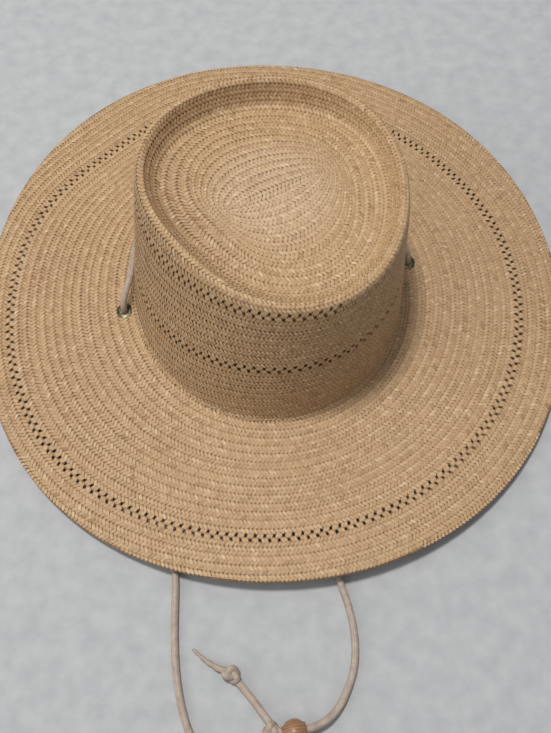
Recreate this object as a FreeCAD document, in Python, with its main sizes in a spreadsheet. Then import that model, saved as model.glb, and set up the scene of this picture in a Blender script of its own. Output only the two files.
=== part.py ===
import FreeCAD, Part

import math
import os

import Sketcher

# Straw sun hat, resting on its brim. Millimetres, +Z up, -Y is the front of the hat.
# The origin is on the table under the middle of the brim.

DIMENSIONS = [
    # the woven straw
    ("straw", 1.2),                 # thickness of the weave
    ("brim_radius", 198.5),
    ("brim_root_height", 11.6),     # top of the brim where it meets the crown
    ("front_lift", 9.5),            # how far the front of the brim curls up
    ("lift_reach", 68),             # degrees from the front at which the curl has died out
    ("crown_height", 112),
    ("base_radius", 93.7),          # mean radius of the crown where it leaves the brim
    ("base_oval", 0.062),           # lengthening front to back, as a share of the radius
    ("rim_radius", 79.3),           # mean radius of the crown's rolled upper rim
    ("rim_oval", 0.064),
    ("rim_oval_turn", 114),         # direction of the rim's long axis, in degrees
    ("rim_dent", 0.037),            # three-sided share of the rim's outline: its flatter left front
    ("rim_dent_turn", 33),
    ("rim_shift_side", 9),          # the crown leans a little to its right and back
    ("rim_shift_back", 6.4),
    ("rim_width", 9),               # across the roll of the rim
    ("tip_depth", 18),              # from the top of the rim down to the sunken tip, at the back
    ("tip_tilt", 0.36),             # share by which the tip is shallower at its middle than at the back
    # the edge of the brim
    ("hem_width", 6),
    ("hem_straw", 1),
    ("hem_channel", 1.9),           # gap between brim and turned-under hem, for the wire
    ("hem_lip", 0.8),
    ("hem_press", 0.15),            # how much the resting hem is pressed flat
    ("wire_diameter", 1.2),
    ("wire_inset", 2.4),
    ("sleeve_diameter", 1.8),
    ("sleeve_bore", 1.5),
    ("sleeve_length", 14),
    ("thread", 0.5),
    # the band inside the crown
    ("band_height", 32),
    ("band_thickness", 1),
    ("band_gap", 0.3),
    ("label_width", 24),
    ("label_height", 16),
    ("label_gap", 1.3),             # between the flat label and the curved band behind its middle
    ("label_thickness", 0.5),
    ("label_corner", 1),
    # the eyelets
    ("eyelet_side", 95.4),
    ("eyelet_front", 3),
    ("eyelet_height", 10.85),       # middle of the brim's thickness at the eyelets
    ("eyelet_bore", 6),
    ("eyelet_barrel", 7.2),
    ("eyelet_flange", 10.4),
    ("eyelet_flange_thickness", 0.7),
    ("washer_diameter", 11.4),
    ("washer_thickness", 0.6),
    # the chin cord and what is on it
    ("cord_diameter", 4.2),
    ("bead_diameter", 14),
    ("bead_bore", 6.2),
    ("slip_knot_length", 9.5),
    ("slip_knot_width", 11),
    ("slip_knot_height", 9.2),
    ("end_knot_length", 13),
    ("end_knot_width", 10),
    ("end_knot_height", 8.6),
    ("tip_length", 24),
    ("tip_end_diameter", 3),
]

# The chin cord's routes, in millimetres. It lies on the table (centre one cord radius up) or on the
# brim, apart from where it goes through an eyelet or the bead.
CORD_LEFT = [
    (-95.4, -3, 11), (-95.4, -3, 4.6), (-95.2, -11, 2.1), (-95, -26, 2.1), (-97, -55, 2.1),
    (-92, -95, 2.1), (-84, -137, 2.1), (-86.5, -178, 2.1), (-93, -215, 2.1), (-94.5, -243, 2.1),
    (-91, -266, 2.1), (-82, -283, 2.1), (-67, -289.5, 2.1), (-56, -284.5, 2.6), (-51, -273.5, 4.2),
]
CORD_RIGHT = [
    (95.4, -3, 11), (95.4, -3, 4.6), (95, -11, 2.1), (91, -26, 2.1), (81, -52, 2.1),
    (67, -90, 2.1), (41, -124, 2.1), (16, -156, 2.1), (5, -192, 2.1), (9.5, -220, 2.1),
    (6, -244, 2.1), (-2.5, -258.5, 2.3), (-10.5, -267.5, 4.4), (-21.5, -273.1, 7),
    (-43, -273.6, 7), (-48.5, -264, 4.2), (-55, -251.5, 2.1), (-62.5, -239.5, 3.4),
]
CORD_BACK = [
    (-95.4, -3, 11), (-95.4, -3, 20), (-93.5, 7, 24.5), (-88.5, 20, 22), (-84, 38, 17),
    (-73.5, 66, 13.9), (-53, 91, 13.9), (-23, 104, 13.9), (10, 107, 13.9), (42, 97.5, 13.9),
    (73, 66, 13.9), (85.5, 38, 17), (90, 20, 22), (93.5, 7, 24.5), (95.4, -3, 20),
    (95.4, -3, 11),
]
BEAD_PLACE = (-35, -273.4, 7)
SLIP_KNOT_PLACE = (-47.3, -270.4, 5.4)
END_KNOT_PLACE = (-63.5, -238, 4.4)
SLIP_KNOT_TURN = 155                # directions seen from above, in degrees
TIP_TURN = 139
BEAD_TURN = 1.3

ARC_SHARE = 0.45                    # part of the shorter run that an arc takes
OUTLINE_POINTS = 32
WIRE_END_GAP = 0.002                # radians between the middle of the back and each end of the wire
WIRE_RUNS = 72
VOLUME_TOLERANCE = 0.01


doc = FreeCAD.newDocument("straw_sun_hat")
sheet = doc.addObject("Spreadsheet::Sheet", "Dims")
for row, (alias, value) in enumerate(DIMENSIONS, start=1):
    sheet.set(f"A{row}", alias)
    sheet.set(f"B{row}", str(value))
    sheet.setAlias(f"B{row}", alias)
doc.recompute()


def dim(alias):
    return float(sheet.get(alias))


def vector(point):
    return FreeCAD.Vector(*point)


# ---------------------------------------------------------------- outlines of the woven body

def base_outline(angle):
    """The crown where it leaves the brim: an oval, longer front to back."""
    radius = dim("base_radius") * (1 - dim("base_oval") * math.cos(2 * angle))
    return radius * math.cos(angle), radius * math.sin(angle)


def rim_outline(angle):
    """The crown's upper rim: an oval with a flatter left front, leaning off centre."""
    oval = dim("rim_oval") * math.cos(2 * (angle - math.radians(dim("rim_oval_turn"))))
    dent = dim("rim_dent") * math.cos(3 * (angle - math.radians(dim("rim_dent_turn"))))
    radius = dim("rim_radius") * (1 + oval + dent)
    return (dim("rim_shift_side") + radius * math.cos(angle),
            dim("rim_shift_back") + radius * math.sin(angle))


def wall_outline(rise, inset=0.0):
    """The crown wall's outline at a share of its height, moved inwards by inset."""
    def place(angle):
        low = base_outline(angle)
        high = rim_outline(angle)
        middle_x = dim("rim_shift_side") * rise
        middle_y = dim("rim_shift_back") * rise
        x = low[0] + (high[0] - low[0]) * rise - middle_x
        y = low[1] + (high[1] - low[1]) * rise - middle_y
        keep = 1 - inset / math.hypot(x, y)
        return middle_x + x * keep, middle_y + y * keep
    return place


def brim_outline(inset):
    def place(angle):
        radius = dim("brim_radius") - inset
        return radius * math.cos(angle), radius * math.sin(angle)
    return place


def lift(angle):
    """Height of the brim's edge over the table: none at the sides and back, curling up in front."""
    from_front = abs((math.degrees(angle) + 90 + 180) % 360 - 180)
    if from_front >= dim("lift_reach"):
        return 0.0
    return dim("front_lift") * math.cos(math.pi / 2 * from_front / dim("lift_reach")) ** 2


def ring(name, outline, height):
    """A closed smooth curve through an outline; height is a number or a function of the angle."""
    points = []
    for step in range(OUTLINE_POINTS):
        angle = 2 * math.pi * step / OUTLINE_POINTS
        x, y = outline(angle)
        points.append(FreeCAD.Vector(x, y, height(angle) if callable(height) else height))
    curve = Part.BSplineCurve()
    curve.interpolate(Points=points, PeriodicFlag=True, Parameters=list(range(OUTLINE_POINTS + 1)))
    feature = doc.addObject("Part::Feature", name)
    feature.Shape = Part.Wire(curve.toShape())
    return feature


def loft(name, rings, solid, ruled=False):
    feature = doc.addObject("Part::Loft", name)
    feature.Sections = rings
    feature.Solid = solid
    feature.Ruled = ruled
    feature.MaxDegree = 3
    return feature


def cut(name, base, tool):
    feature = doc.addObject("Part::Cut", name)
    feature.Base = base
    feature.Tool = tool
    return feature


def fuse(name, shapes):
    feature = doc.addObject("Part::MultiFuse", name)
    feature.Shapes = shapes
    return feature


def thicken_down(name, skin, thickness):
    """A sheet of the given thickness hanging below a skin; thickness is an expression."""
    feature = doc.addObject("Part::Extrusion", name)
    feature.Base = skin
    feature.DirMode = "Custom"
    feature.Dir = FreeCAD.Vector(0, 0, -1)
    feature.Solid = True
    feature.setExpression("LengthFwd", thickness)
    return feature


def cylinder(name, radius, height):
    feature = doc.addObject("Part::Cylinder", name)
    feature.setExpression("Radius", radius)
    feature.setExpression("Height", height)
    return feature


# ---------------------------------------------------------------- crown

def crown_profile():
    """Outside of the crown from its foot to the sunken tip, as (rise, inset, height, sink) places.

    Sink is how far a place inside the rim lies below it; it is shallower towards the front.
    """
    top = dim("crown_height")
    foot = dim("brim_root_height") - dim("straw")
    width = dim("rim_width")
    tip = top - dim("tip_depth")
    wall = [(rise, 0, foot + (top - foot) * rise, 0) for rise in (0, 0.25, 0.5, 0.75, 0.93)]
    middle_of_roll = width / 2
    roll = []
    for step in range(1, 6):
        around = math.pi * step / 6
        drop = middle_of_roll * (1 - math.sin(around))
        roll.append((1, middle_of_roll * (1 - math.cos(around)), top - drop, drop if step > 3 else 0))
    sunken = [(1, width, top - middle_of_roll - 1), (1, width + 2, tip + 4), (1, width + 3.2, tip + 1.8),
              (1, width + 6, tip + 0.4)]
    middle = [(1, width + 18, tip + 0.6), (1, width + 40, tip + 2.2), (1, width + 60, tip + 2.6)]
    return wall + roll + [(rise, inset, height, top - height) for rise, inset, height in sunken + middle]


def under_profile(profile, thickness):
    """The same profile moved by the weave's thickness to the inside of the straw."""
    below = []
    for index, (rise, inset, height, sink) in enumerate(profile):
        before = profile[max(index - 1, 0)]
        after = profile[min(index + 1, len(profile) - 1)]
        taper = dim("base_radius") - dim("rim_radius")
        run = (after[0] - before[0]) * taper + after[1] - before[1]
        climb = after[2] - before[2]
        length = math.hypot(run, climb)
        below.append((rise, inset + thickness * climb / length, height - thickness * run / length, sink))
    return below


def tilted_height(outline, height, sink):
    """Height of a ring of the crown, raised towards the front where it lies inside the rim."""
    def place(angle):
        back = (outline(angle)[1] - dim("rim_shift_back")) / dim("rim_radius")
        return height + sink * dim("tip_tilt") * (1 - back)
    return place


def profile_solid(name, profile):
    rings = []
    for index, (rise, inset, height, sink) in enumerate(profile):
        outline = wall_outline(rise, inset)
        rings.append(ring(f"{name}_ring_{index}", outline, tilted_height(outline, height, sink)))
    return loft(name, rings, True, ruled=True)


def crown():
    outside = crown_profile()
    inside = under_profile(outside, dim("straw"))
    rise, inset, height, sink = inside[0]
    below_foot = 2
    climb = dim("crown_height") - dim("brim_root_height") + dim("straw")
    inside[0] = (rise - below_foot / climb, inset, height - below_foot, sink)
    body = cut("crown", profile_solid("crown_outside", outside), profile_solid("crown_inside", inside))
    body.Label = "crown"
    return body


# ---------------------------------------------------------------- brim and its edge

def brim_skin_height(share):
    """Top of the brim at a share of the way from its edge to the crown."""
    edge = dim("hem_straw") + dim("hem_channel") + dim("straw")

    def height(angle):
        return edge + (dim("brim_root_height") - edge) * share ** 0.9 + lift(angle) * (1 - share) ** 1.3
    return height


def between_outline(share):
    """The brim's outline at a share of the way from its edge to the crown."""
    edge = brim_outline(0)
    root = wall_outline(0, -0.1)

    def place(angle):
        outer = edge(angle)
        inner = root(angle)
        return outer[0] + (inner[0] - outer[0]) * share, outer[1] + (inner[1] - outer[1]) * share
    return place


def brim():
    rings = []
    for index, share in enumerate((0, 0.25, 0.5, 0.75, 1)):
        rings.append(ring(f"brim_ring_{index}", between_outline(share), brim_skin_height(share)))
    sheet_of_straw = thicken_down("brim_sheet", loft("brim_skin", rings, False), "Dims.straw")
    holes = []
    for side in (-1, 1):
        hole = cylinder(f"brim_hole_{'left' if side < 0 else 'right'}", "Dims.eyelet_barrel / 2 + 0.05", "20")
        hole.setExpression("Placement.Base.x", f"{side} * Dims.eyelet_side")
        hole.setExpression("Placement.Base.y", "-Dims.eyelet_front")
        holes.append(hole)
    body = cut("brim", sheet_of_straw, fuse("brim_holes", holes))
    body.Label = "brim"
    return body


def flat_ring(name, outer_inset, inner_inset, base, thickness):
    """A ring that follows the brim's edge, its upper face base millimetres over the edge's lift."""
    rings = []
    for part, inset in (("outer", outer_inset), ("inner", inner_inset)):
        rings.append(ring(f"{name}_{part}", brim_outline(inset), lambda angle: base + lift(angle)))
    return thicken_down(name, loft(f"{name}_skin", rings, False), thickness)


def brim_hem():
    """The straw turned under at the edge: a strip, and the fold that closes it outside."""
    hem = dim("hem_straw")
    strip = flat_ring("hem_strip", 0, dim("hem_width"), hem, "Dims.hem_straw + Dims.hem_press")
    fold = flat_ring("hem_fold", 0, dim("hem_lip"), hem + dim("hem_channel") - 0.05,
                     "Dims.hem_channel - 0.05")
    table = doc.addObject("Part::Box", "table_top")
    reach = dim("brim_radius") + 10
    table.Length = 2 * reach
    table.Width = 2 * reach
    table.Height = 10
    table.Placement.Base = FreeCAD.Vector(-reach, -reach, -10)
    body = cut("brim_hem", fuse("hem_fold_and_strip", [strip, fold]), table)
    body.Label = "brim_hem"
    return body


def hem_stitching():
    """The sewing line on top of the brim that holds the hem down."""
    inset = dim("hem_width") - 1.4
    width = dim("thread")
    share = inset / (dim("brim_radius") - dim("base_radius"))
    rings = []
    for part, place in (("outer", inset - width / 2), ("inner", inset + width / 2)):
        rings.append(ring(f"hem_thread_{part}", brim_outline(place),
                          lambda angle: brim_skin_height(share)(angle) + width))
    body = thicken_down("hem_stitching", loft("hem_thread_skin", rings, False), "Dims.thread - 0.15")
    body.Label = "hem_stitching"
    return body


def wire_height(angle):
    return dim("hem_straw") + dim("hem_channel") / 2 + lift(angle)


def brim_edge_wire():
    """A springy wire in the fold of the hem; its two ends meet in the sleeve at the back."""
    radius = dim("brim_radius") - dim("wire_inset")
    route = []
    for step in range(WIRE_RUNS + 1):
        angle = math.pi / 2 + WIRE_END_GAP + (2 * math.pi - 2 * WIRE_END_GAP) * step / WIRE_RUNS
        route.append((radius * math.cos(angle), radius * math.sin(angle), wire_height(angle)))
    return tube("brim_edge_wire", rounded_path(route)[0], route, "Dims.wire_diameter / 2")


def wire_sleeve():
    """The crimped tube that joins the wire's two ends, at the back of the brim."""
    outside = cylinder("sleeve_outside", "Dims.sleeve_diameter / 2", "Dims.sleeve_length")
    bore = cylinder("sleeve_bore_tool", "Dims.sleeve_bore / 2", "Dims.sleeve_length")
    body = cut("wire_sleeve", outside, bore)
    body.Label = "wire_sleeve"
    back = FreeCAD.Vector(-dim("sleeve_length") / 2, dim("brim_radius") - dim("wire_inset") - 0.06,
                          dim("hem_straw") + dim("hem_channel") / 2)
    body.Placement = FreeCAD.Placement(back, FreeCAD.Rotation(FreeCAD.Vector(0, 1, 0), 90))
    return body


# ---------------------------------------------------------------- inside the crown

def wall_rise(height):
    foot = dim("brim_root_height") - dim("straw")
    return (height - foot) / (dim("crown_height") - foot)


def band_solid(name, inset, low, high):
    rings = []
    for part, height in (("low", low), ("high", high)):
        rings.append(ring(f"{name}_{part}", wall_outline(wall_rise(height), inset), height))
    return loft(name, rings, True)


def wall_band(label, outer_inset, thickness, low, high):
    """A band that follows the crown's wall between two heights."""
    outside = band_solid(f"{label}_outside", outer_inset, low, high)
    inside = band_solid(f"{label}_inside", outer_inset + thickness, low, high)
    body = cut(label, outside, inside)
    body.Label = label
    return body


def sweatband():
    foot = dim("brim_root_height") - dim("straw")
    return wall_band("sweatband", dim("straw") + dim("band_gap"), dim("band_thickness"), foot + 0.3,
                     foot + dim("band_height"))


def sweatband_stitching():
    """The sewing line low on the outside of the crown that holds the band."""
    low = dim("brim_root_height") + 2
    return wall_band("sweatband_stitching", -dim("thread"), dim("thread") - 0.1, low, low + dim("thread"))


def plane_of(body, role):
    for feature in body.Origin.OriginFeatures:
        if feature.Role == role:
            return feature
    raise ValueError(role)


def new_sketch(body, name, role):
    sketch = body.newObject("Sketcher::SketchObject", name)
    sketch.AttachmentSupport = [(plane_of(body, role), "")]
    sketch.MapMode = "FlatFace"
    return sketch


def circle_in(sketch, expression):
    index = sketch.addGeometry(Part.Circle(FreeCAD.Vector(0, 0, 0), FreeCAD.Vector(0, 0, 1), 1))
    sketch.addConstraint(Sketcher.Constraint("Coincident", index, 3, -1, 1))
    constraint = sketch.addConstraint(Sketcher.Constraint("Diameter", index, 2))
    sketch.setExpression(f"Constraints[{constraint}]", expression)


def polygon_in(sketch, corners):
    """A closed polygon whose corners are (x expression, y expression) pairs from the sheet."""
    values = [(sheet_value(x), sheet_value(y)) for x, y in corners]
    lines = []
    for index, (x, y) in enumerate(values):
        end = values[(index + 1) % len(values)]
        start_point = FreeCAD.Vector(x, y, 0)
        lines.append(sketch.addGeometry(Part.LineSegment(start_point, FreeCAD.Vector(*end, 0))))
    for index, line in enumerate(lines):
        sketch.addConstraint(Sketcher.Constraint("Coincident", line, 2, lines[(index + 1) % len(lines)], 1))
    for line, value, (x, y) in zip(lines, values, corners):
        for kind, number, expression in (("DistanceX", value[0], x), ("DistanceY", value[1], y)):
            constraint = sketch.addConstraint(Sketcher.Constraint(kind, -1, 1, line, 1, number))
            sketch.setExpression(f"Constraints[{constraint}]", expression)


def sheet_value(expression):
    """The number that an expression of the sheet's cells stands for."""
    return float(sheet.evalExpression(expression.replace("Dims.", "")))


def size_label():
    """A small blank cloth label that hangs by its sewn top edge at the back of the band."""
    body = doc.addObject("PartDesign::Body", "size_label")
    sketch = new_sketch(body, "label_outline", "XZ_Plane")
    half = "Dims.label_width / 2"
    polygon_in(sketch, [(f"-{half}", "-Dims.label_height"), (half, "-Dims.label_height"),
                        (half, "0"), (f"-{half}", "0")])
    pad = body.newObject("PartDesign::Pad", "label_pad")
    pad.Profile = sketch
    pad.setExpression("Length", "Dims.label_thickness")
    doc.recompute()
    corners = []
    for index, edge in enumerate(pad.Shape.Edges, start=1):
        ends = [vertex.Point for vertex in edge.Vertexes]
        if abs(ends[0].y - ends[1].y) > 0.1 and ends[0].z < -1:
            corners.append(f"Edge{index}")
    rounding = body.newObject("PartDesign::Fillet", "label_corners")
    rounding.Base = (pad, corners)
    rounding.setExpression("Radius", "Dims.label_corner")
    body.Tip = rounding
    body.Placement = label_placement()
    body.Label = "size_label"
    return body


def label_placement():
    """Where the label's top edge hangs, in front of the band at the back."""
    height = dim("brim_root_height") + dim("band_height") - 6
    inset = dim("straw") + dim("band_gap") + dim("band_thickness") + dim("label_gap")
    back = wall_outline(wall_rise(height), inset)(math.pi / 2)
    return FreeCAD.Placement(FreeCAD.Vector(0, back[1], height), FreeCAD.Rotation())


def label_stitching():
    """The short row of stitches along the label's top edge, sewn back into the band."""
    body = doc.addObject("Part::Box", "label_stitching")
    body.setExpression("Length", "Dims.label_width - 4")
    body.setExpression("Width", "Dims.label_gap + 0.3")
    body.setExpression("Height", "Dims.thread")
    place = label_placement()
    place.Base = place.Base + FreeCAD.Vector(2 - dim("label_width") / 2, -0.1, 0.7)
    body.Placement = place
    body.Label = "label_stitching"
    return body


# ---------------------------------------------------------------- eyelets

def revolve(body, sketch, name):
    feature = body.newObject("PartDesign::Revolution", name)
    feature.Profile = sketch
    feature.ReferenceAxis = (sketch, ["V_Axis"])
    feature.Angle = 360
    body.Tip = feature
    return feature


def eyelet(side_name, side):
    """A brass eyelet: flange on top of the brim, barrel through it, rolled over the washer below."""
    body = doc.addObject("PartDesign::Body", f"eyelet_{side_name}")
    sketch = new_sketch(body, f"eyelet_profile_{side_name}", "XZ_Plane")
    bore = "Dims.eyelet_bore / 2"
    barrel = "Dims.eyelet_barrel / 2"
    flange = "Dims.eyelet_flange / 2"
    under = "Dims.straw / 2 + 0.1"
    top = "Dims.straw / 2 + 0.1 + Dims.eyelet_flange_thickness"
    foot = "-Dims.straw / 2 - 0.3 - Dims.washer_thickness"
    polygon_in(sketch, [(bore, foot), (barrel, foot), (barrel, under), (flange, under),
                        (flange, under + " + 0.25"), (barrel, top), (bore, top)])
    revolve(body, sketch, f"eyelet_turned_{side_name}")
    body.Placement.Base = FreeCAD.Vector(side * dim("eyelet_side"), -dim("eyelet_front"), dim("eyelet_height"))
    body.Label = f"eyelet_{side_name}"
    return body


def washer(side_name, side):
    body = doc.addObject("PartDesign::Body", f"washer_{side_name}")
    sketch = new_sketch(body, f"washer_ring_{side_name}", "XY_Plane")
    circle_in(sketch, "Dims.washer_diameter")
    circle_in(sketch, "Dims.eyelet_barrel + 0.1")
    pad = body.newObject("PartDesign::Pad", f"washer_pad_{side_name}")
    pad.Profile = sketch
    pad.setExpression("Length", "Dims.washer_thickness")
    height = dim("eyelet_height") - dim("straw") / 2 - 0.25 - dim("washer_thickness")
    body.Placement.Base = FreeCAD.Vector(side * dim("eyelet_side"), -dim("eyelet_front"), height)
    body.Label = f"washer_{side_name}"
    return body


# ---------------------------------------------------------------- chin cord

def rounded_path(route):
    """Straight runs joined by tangent arcs, with the arcs' radii."""
    points = [vector(point) for point in route]
    edges = []
    radii = []
    start = points[0]
    for before, corner, after in zip(points, points[1:], points[2:]):
        back = before - corner
        ahead = after - corner
        shorter = min(back.Length, ahead.Length)
        half_turn = (math.pi - back.getAngle(ahead)) / 2
        reach = ARC_SHARE * shorter
        radius = reach / math.tan(half_turn)
        radii.append(radius)
        back.normalize()
        ahead.normalize()
        arc_start = corner + back * reach
        arc_end = corner + ahead * reach
        inward = back + ahead
        inward.normalize()
        middle = corner + inward * (radius / math.cos(half_turn) - radius)
        edges.append(Part.LineSegment(start, arc_start).toShape())
        edges.append(Part.Arc(arc_start, middle, arc_end).toShape())
        start = arc_end
    edges.append(Part.LineSegment(start, points[-1]).toShape())
    return Part.Wire(edges), radii


def tube(name, wire, route, radius):
    """A round bar swept along the wire, which starts along the route's first run."""
    path = doc.addObject("Part::Feature", f"{name}_path")
    path.Shape = wire
    section = doc.addObject("Part::Circle", f"{name}_section")
    section.setExpression("Radius", radius)
    direction = vector(route[1]) - vector(route[0])
    section.Placement = FreeCAD.Placement(vector(route[0]),
                                          FreeCAD.Rotation(FreeCAD.Vector(0, 0, 1), direction))
    body = doc.addObject("Part::Sweep", name)
    body.Sections = [section]
    body.Spine = (path, [])
    body.Solid = True
    body.Frenet = False
    body.Label = name
    return body


def cord(name, route):
    wire, radii = rounded_path(route)
    print(name, "arc radii", " ".join(f"{radius:.0f}" for radius in radii))
    return tube(name, wire, route, "Dims.cord_diameter / 2")


def check_cord_volume(body):
    path = doc.getObject(f"{body.Name}_path")
    expected = math.pi * (dim("cord_diameter") / 2) ** 2 * path.Shape.Length
    ratio = body.Shape.Volume / expected
    print(body.Label, f"length {path.Shape.Length:.0f} volume ratio {ratio:.4f}")
    if abs(ratio - 1) > VOLUME_TOLERANCE:
        raise RuntimeError(f"{body.Label}: the tube's volume is off")


def wood_bead():
    """A round wooden bead with a straight bore along its own X."""
    body = doc.addObject("PartDesign::Body", "wood_bead")
    sketch = new_sketch(body, "bead_profile", "XZ_Plane")
    radius = dim("bead_diameter") / 2
    bore = dim("bead_bore") / 2
    mouth = math.sqrt(radius ** 2 - bore ** 2)
    circle = Part.Circle(FreeCAD.Vector(0, 0, 0), FreeCAD.Vector(0, 0, 1), radius)
    mouth_angle = math.atan2(mouth, bore)
    arc = sketch.addGeometry(Part.ArcOfCircle(circle, -mouth_angle, mouth_angle))
    line = sketch.addGeometry(Part.LineSegment(FreeCAD.Vector(bore, mouth, 0), FreeCAD.Vector(bore, -mouth, 0)))
    sketch.addConstraint(Sketcher.Constraint("Coincident", arc, 3, -1, 1))
    sketch.addConstraint(Sketcher.Constraint("Coincident", arc, 2, line, 1))
    sketch.addConstraint(Sketcher.Constraint("Coincident", line, 2, arc, 1))
    sketch.addConstraint(Sketcher.Constraint("Vertical", line))
    size = sketch.addConstraint(Sketcher.Constraint("Radius", arc, radius))
    sketch.setExpression(f"Constraints[{size}]", "Dims.bead_diameter / 2")
    hole = sketch.addConstraint(Sketcher.Constraint("DistanceX", -1, 1, line, 1, bore))
    sketch.setExpression(f"Constraints[{hole}]", "Dims.bead_bore / 2")
    revolve(body, sketch, "bead_turned")
    along = FreeCAD.Rotation(FreeCAD.Vector(0, 1, 0), 90)
    turn = FreeCAD.Rotation(FreeCAD.Vector(0, 0, 1), BEAD_TURN)
    body.Placement = FreeCAD.Placement(vector(BEAD_PLACE), turn.multiply(along))
    body.Label = "wood_bead"
    return body


def knot(label, size, place, turn):
    """A knot as one closed lump; size is the sheet's name for its length, width and height."""
    body = doc.addObject("Part::Ellipsoid", label)
    body.setExpression("Radius2", f"Dims.{size}_length / 2")
    body.setExpression("Radius3", f"Dims.{size}_width / 2")
    body.setExpression("Radius1", f"Dims.{size}_height / 2")
    body.Placement = FreeCAD.Placement(vector(place), FreeCAD.Rotation(FreeCAD.Vector(0, 0, 1), turn))
    body.Label = label
    return body


def tail_tip():
    """The cord's loose end past its end knot, narrowing and lying on the table."""
    body = doc.addObject("Part::Cone", "tail_tip")
    body.setExpression("Radius1", "Dims.cord_diameter / 2 + 0.3")
    body.setExpression("Radius2", "Dims.tip_end_diameter / 2")
    body.setExpression("Height", "Dims.tip_length")
    across = math.radians(TIP_TURN)
    drop = -1.6 / dim("tip_length")
    direction = FreeCAD.Vector(math.cos(across), math.sin(across), drop)
    start = vector(END_KNOT_PLACE) + FreeCAD.Vector(0, 0, -0.9)
    body.Placement = FreeCAD.Placement(start, FreeCAD.Rotation(FreeCAD.Vector(0, 0, 1), direction))
    body.Label = "tail_tip"
    return body


# ---------------------------------------------------------------- the hat

cords = [cord("cord_left", CORD_LEFT), cord("cord_right", CORD_RIGHT), cord("cord_back", CORD_BACK)]
pieces = [crown(), brim(), brim_hem(), hem_stitching(), brim_edge_wire(), wire_sleeve()]
pieces += [sweatband(), sweatband_stitching(), size_label(), label_stitching()]
for side_name, side in (("left", -1), ("right", 1)):
    pieces += [eyelet(side_name, side), washer(side_name, side)]
pieces += [wood_bead(), knot("slip_knot", "slip_knot", SLIP_KNOT_PLACE, SLIP_KNOT_TURN),
           knot("tail_knot", "end_knot", END_KNOT_PLACE, TIP_TURN), tail_tip()]
pieces += cords
doc.recompute()

for item in doc.Objects:
    if "Invalid" in item.State or "Error" in item.State:
        raise RuntimeError(f"{item.Label} failed to build: {item.State}")
for piece in pieces:
    if piece.Shape.isNull() or not piece.Shape.isValid() or not piece.Shape.Solids:
        raise RuntimeError(f"{piece.Label} has no valid solid")
for piece in cords:
    check_cord_volume(piece)

os.makedirs("parts", exist_ok=True)
for piece in pieces:
    piece.Shape.exportStep(f"parts/{piece.Label}.step")
    box = piece.Shape.BoundBox
    print(f"{piece.Label}: {piece.Shape.Volume:.0f} mm3, z {box.ZMin:.2f} to {box.ZMax:.2f}")
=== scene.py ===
import math

import bmesh
import bpy
import numpy as np
from mathutils import Matrix, Vector


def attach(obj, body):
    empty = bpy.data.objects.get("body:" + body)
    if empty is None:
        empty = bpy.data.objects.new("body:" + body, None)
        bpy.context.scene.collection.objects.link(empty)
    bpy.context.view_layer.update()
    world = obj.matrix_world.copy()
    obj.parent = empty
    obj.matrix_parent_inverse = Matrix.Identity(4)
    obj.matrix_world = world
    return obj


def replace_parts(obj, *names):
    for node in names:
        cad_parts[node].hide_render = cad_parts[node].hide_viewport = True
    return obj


# Looks of a woven straw sun hat. Metres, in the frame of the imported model; lengths named _MM are millimetres.

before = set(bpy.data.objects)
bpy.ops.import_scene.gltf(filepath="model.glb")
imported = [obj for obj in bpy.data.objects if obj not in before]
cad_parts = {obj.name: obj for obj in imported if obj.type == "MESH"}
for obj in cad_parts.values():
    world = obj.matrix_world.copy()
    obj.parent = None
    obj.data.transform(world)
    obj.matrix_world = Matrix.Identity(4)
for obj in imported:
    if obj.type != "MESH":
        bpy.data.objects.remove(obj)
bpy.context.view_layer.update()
MM = 0.001
rng = np.random.default_rng(41)
scene = bpy.context.scene


# ---------------------------------------------------------------- camera

FRAME_WIDTH, FRAME_HEIGHT = 551, 733
FOCAL_LENGTH_PX = 850
SENSOR_MM = 36
ELEVATION, AZIMUTH, ROLL = 65.307, -8.484, -2.402
LOOK_AT_MM = (-4.723, -56.498, 0)
DISTANCE_MM = 552.699


def make_camera():
    camera = bpy.data.objects.new("camera", bpy.data.cameras.new("camera"))
    scene.collection.objects.link(camera)
    camera.data.sensor_width = SENSOR_MM
    camera.data.lens = FOCAL_LENGTH_PX * SENSOR_MM / FRAME_HEIGHT
    elevation, azimuth = math.radians(ELEVATION), math.radians(AZIMUTH)
    back = Vector((math.sin(azimuth) * math.cos(elevation),
                   -math.cos(azimuth) * math.cos(elevation), math.sin(elevation)))
    right = (-back).cross(Vector((0, 0, 1))).normalized()
    up = right.cross(-back)
    turn = Matrix.Rotation(math.radians(ROLL), 3, back)
    right, up = turn @ right, turn @ up
    place = Matrix((right, up, back)).transposed().to_4x4()
    place.translation = (Vector(LOOK_AT_MM) + back * DISTANCE_MM) * MM
    camera.matrix_world = place
    scene.camera = camera


# ---------------------------------------------------------------- node materials

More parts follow.
